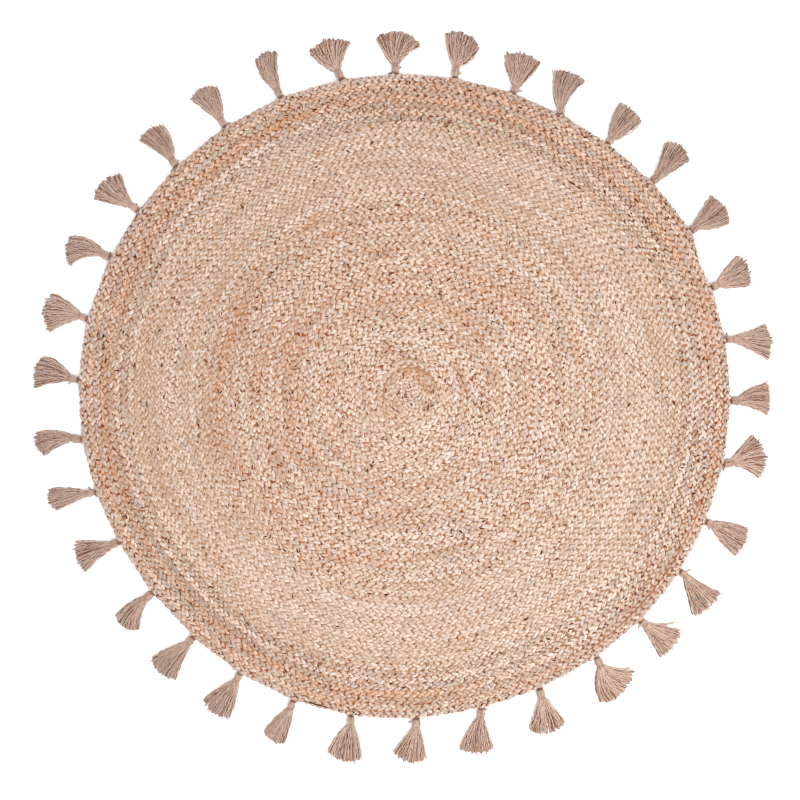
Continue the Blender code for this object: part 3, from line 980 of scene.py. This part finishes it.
# %% Cotton
cotton, tree, shader = new_material("cotton_yarn")
thread = node("UVMap", "UV", {}, uv_map="thread")
yarn_tone = spot("tone")
fluff = streaks(thread, (260, 1400, 1), 3.0)
base = mixed(ramped(yarn_tone, 0.0, 1.0), dye("brown yarn and painted shade"), dye("pale yarn"))
bloom = times(ramped(fluff, 0.40, 0.75), 0.6)
base = mixed(bloom, base, dye("bloom"))
base = mixed(ramped(yarn_tone, -0.1, -0.6), base, dye("binding"))  # tones under 0
plies = {"Vector": thread, "Rotation": (0, 0, 0.6), "Scale": (900, 900, 1)}
plies = node("TexWave", "Fac", {"Vector": node("Mapping", "Vector", plies), "Scale": 0.3})
raised = plus(plies, fluff, 0.5)
bump = node("Bump", "Normal", {"Height": raised, "Strength": 0.45, "Distance": 0.3 * MM})
set_inputs(shader, {
    "Base Color": base, "Normal": bump, "Roughness": 0.9, "Specular IOR Level": 0.2,
    "Sheen Weight": 0.25, "Sheen Roughness": 0.5,
})
print("cotton has", len(tree.nodes), "nodes")

# %% [markdown]
# Each tassel becomes one mesh: its yarns, its two windings, its tie ends and its strays, put
# together and then joined, because a piece is what moves and is swapped as a whole.

# %% Make the tassels
USUAL_FAN, FAN_LIMITS = 62, (0.85, 1.3)  # degrees; thicker yarns fill a wider skirt
OWN_THICKNESS = (0.8, 1.2)
THICKER = 1.6  # the lower yarns and the strays are this much thicker
# the lower yarns' tone is lowered by the last of these, as painted shade
TONE, TONE_SPREAD, LOWER_PAINTED_SHADE = 0.90, 0.32, 0.68
STRAY_ACROSS = 0.9


def join(name, parts):
    """Join a tassel's parts into the first of them."""
    with bpy.context.temp_override(active_object=parts[0], selected_editable_objects=parts):
        bpy.ops.object.join()
    parts[0].name = parts[0].data.name = name
    return parts[0]


def tubes(name, centre, thick, tone):
    """Skin tubes of one kind, with one tone for each."""
    return skin(name, tubes_round(centre, thick), path_lengths(centre),
                thick * 2 * np.pi, cotton, tone=np.broadcast_to(tone[:, None], centre.shape[:2]))


def make_tassel(number, tassel):
    """Work out a tassel's parts, skin each kind, and join them. Strays come after the yarns."""
    name = f"tassel_{number:02d}_yarns"
    strays = [
        (np.sign(s.turn) * STRAY_ACROSS, 0, s.turn, s.length_mm * MM, s.bow_mm * MM)
        for s in STRAYS if s.tassel == number
    ]
    yarns = np.append(fan_of_yarns(tassel), np.reshape(strays, (-1, 5)).T, axis=1)
    across, level, turn, length, bow = yarns
    centre = yarn_paths(tassel, across, level, turn, length, bow)
    thick = np.full(centre.shape[:2], YARN_RADIUS)
    thick = thick * chance.uniform(*OWN_THICKNESS, (len(centre), 1))
    fan = np.clip((tassel.left + tassel.right) / USUAL_FAN, *FAN_LIMITS)
    thick = np.where(level < 0, THICKER, 1.0)[:, None] * thick * fan
    thick[YARNS:] *= THICKER
    thick[:, :len(NECK)] = NECK_YARN_RADIUS
    # the yarns of the lower layer are darkened with painted shade
    tone = chance.normal(TONE, TONE_SPREAD, len(centre)) - LOWER_PAINTED_SHADE * (level < 0)
    parts = [tubes(name, centre, thick, np.clip(tone, 0, 1))]
    wound = np.stack([winding_path(tassel, winding) for winding in WINDINGS])
    thick = np.repeat(field_of(WINDINGS, "thick_mm")[:, None] * MM, WINDING_STEPS, axis=1)
    parts.append(tubes("windings", wound, thick, field_of(WINDINGS, "tone")))
    feet = foot_paths(tassel)
    tone = chance.uniform(*FOOT_TONES, len(feet))
    parts.append(tubes("feet", feet, np.full(feet.shape[:2], FOOT_RADIUS), tone))
    ties = [tie_path(tassel, tie) for tie in TIE_ENDS if tie.tassel == number]
    if ties:
        ties = np.stack(ties)
        tone = chance.uniform(*TIE_TONES, len(ties))
        parts.append(tubes("ties", ties, np.full(ties.shape[:2], TIE_RADIUS), tone))
    return join(name, parts)


for number, tassel in enumerate(TASSELS, start=1):
    piece = make_tassel(number, tassel)
    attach(piece, "root")
    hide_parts(f"tassel_{number:02d}")

# %% [markdown]
# ## Loose fibres
#
# Here and there a fibre or a thin dark strip lies in a seam or over the grains for a few
# centimetres, and the first three outline the coil in the middle. They were found in the
# photograph one by one, so each is a row of a table with its two ends, and a flat tube is carried
# along the arc between them.

# %% Make the loose fibres
FIBRES = table(
    "from_degrees to_degrees from_px to_px half_width_mm darkness",
    # a radius under 0 is counted inwards from the edge
    (202, 110, 20.5, 25.5, 1.8, 0.12), (112, 18, 25.5, 32.5, 1.8, 0.14),
    (125, 60, 34, 38, 1.6, 0.05), (205, 256, 18.5, 17.5, 1.1, 0.35),
    (34, -4, 55.4, 61.4, 0.9, 0.35), (15, 1, 28, 27.5, 1.8, 0.4), (-19, -37, 24.5, 26, 1.2, 1),
    (60, 240, 1.6, 1.6, 0.9, 0.9), (16, -6, 6.2, 6.4, 0.8, 0.9), (346, 300, 315, 314, 0.8, 0.3),
    (256.5, 251.5, -3, -3, 1.2, 1), (117, 112, 47.5, 48.5, 1.3, 0.8), (98, 91, 43.5, 44, 1.1, 0.7),
    (76, 72, 68, 69, 1.4, 0.9), (71.5, 67, 60, 61, 1.1, 0.9), (62, 59, 75.5, 76, 1.3, 0.8),
    (-30, -34, 60, 60, 1.6, 0.9), (39.5, 35.5, 89, 90.5, 1.1, 1),
    (169.5, 167.7, 314, 314, 1.3, 0.8), (174, 172.7, 302, 302, 1.3, 0.9),
    (174.6, 173, 273, 273, 1.2, 0.9), (173.5, 172.2, 246, 246, 1.3, 0.9),
    (182.6, 181.4, 259, 259, 1.3, 0.9), (52.8, 51.2, 269, 270, 1.5, 1),
    (50.8, 49.6, 270, 271, 1.5, 0.8), (40.9, 39.7, 302, 302, 1.4, 1),
    (39.3, 38.2, 287, 287, 1.4, 0.9), (34.6, 33.6, 260, 262, 1.3, 1),
    (29.6, 28.2, 278, 280, 1.5, 0.9), (25.2, 23.8, 279, 279, 1.6, 0.8),
    (33.3, 32.1, 277, 277, 1.3, 0.9), (22, 21, 307, 307, 1.5, 0.8),
)
FIBRE_STEPS = 18
FIBRE_HEIGHT_MM, FIBRE_ARCH_MM = 9.1, 0.6
FIBRE_FLATTER = 0.6
FIBRE_GIRTH = 6  # over the half width


def fibre_path(fibre):
    """Centre points of an arc: angle and radius go evenly from end to end, and the ends dip."""
    part = np.linspace(0, 1, FIBRE_STEPS)
    angle = fibre.from_degrees + (fibre.to_degrees - fibre.from_degrees) * part
    out = (fibre.from_px + (fibre.to_px - fibre.from_px) * part) * PIXEL
    out = np.where(out < 0, edge_at(angle) + out, out)
    high = (FIBRE_HEIGHT_MM + FIBRE_ARCH_MM * np.sin(np.pi * part)) * MM
    return np.column_stack([direction(angle) * out[:, None], high])


fibre_centre = np.stack([fibre_path(fibre) for fibre in FIBRES])
tapered = np.sqrt(np.sin(np.pi * np.linspace(0.04, 0.96, FIBRE_STEPS)))
fibre_thick = field_of(FIBRES, "half_width_mm")[:, None] * MM * tapered
fibre_grid = tubes_round(fibre_centre, fibre_thick)
fibre_grid[..., 2] += FIBRE_FLATTER * (fibre_centre[..., None, 2] - fibre_grid[..., 2])
darkness = field_of(FIBRES, "darkness")[:, None]
loose_fibres = skin(
    "loose_fibres", fibre_grid, path_lengths(fibre_centre), fibre_thick * FIBRE_GIRTH, bark,
    darkness=np.broadcast_to(darkness, fibre_thick.shape),
)
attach(loose_fibres, "root")
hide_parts("braided_rug")

# %% [markdown]

# %% [markdown]
# ## Floor and light
#
# The rug lies on a plain white floor under soft light from all round, with a large lamp to one
# side that gives the grains their shape.

# %% Floor, sky and lamp
FLOOR_REACH, FLOOR_WHITE = 12.0, 0.96
SKY_STRENGTH = 1.34
LAMP_WATTS, LAMP_SIZE, LAMP_PLACE = 62, 1.6, (1.5, -1.5, 2.3)

white, tree, shader = new_material("white_floor")
floor_colour = (FLOOR_WHITE, FLOOR_WHITE, FLOOR_WHITE, 1)
set_inputs(shader, {"Base Color": floor_colour, "Roughness": 0.9, "Specular IOR Level": 0.1})
floor_mesh = bpy.data.meshes.new("floor")
floor_corners = ((-1, -1), (1, -1), (1, 1), (-1, 1))
floor_corners = [(x * FLOOR_REACH, y * FLOOR_REACH, 0) for x, y in floor_corners]
floor_mesh.from_pydata(floor_corners, [], [(0, 1, 2, 3)])
floor_mesh.materials.append(white)
floor = put("floor", floor_mesh)

world = bpy.data.worlds.new("sky")
world.use_nodes = True
set_inputs(world.node_tree.nodes["Background"], {"Color": (1, 1, 1, 1), "Strength": SKY_STRENGTH})
bpy.context.scene.world = world

lamp_data = bpy.data.lights.new("window", "AREA")
lamp_data.shape, lamp_data.size = "DISK", LAMP_SIZE
lamp_data.energy = LAMP_WATTS
lamp = put("window", lamp_data)
lamp.location = LAMP_PLACE
lamp.rotation_euler = Vector(lamp.location).to_track_quat("Z", "Y").to_euler()
bpy.context.scene.view_settings.view_transform = "Standard"
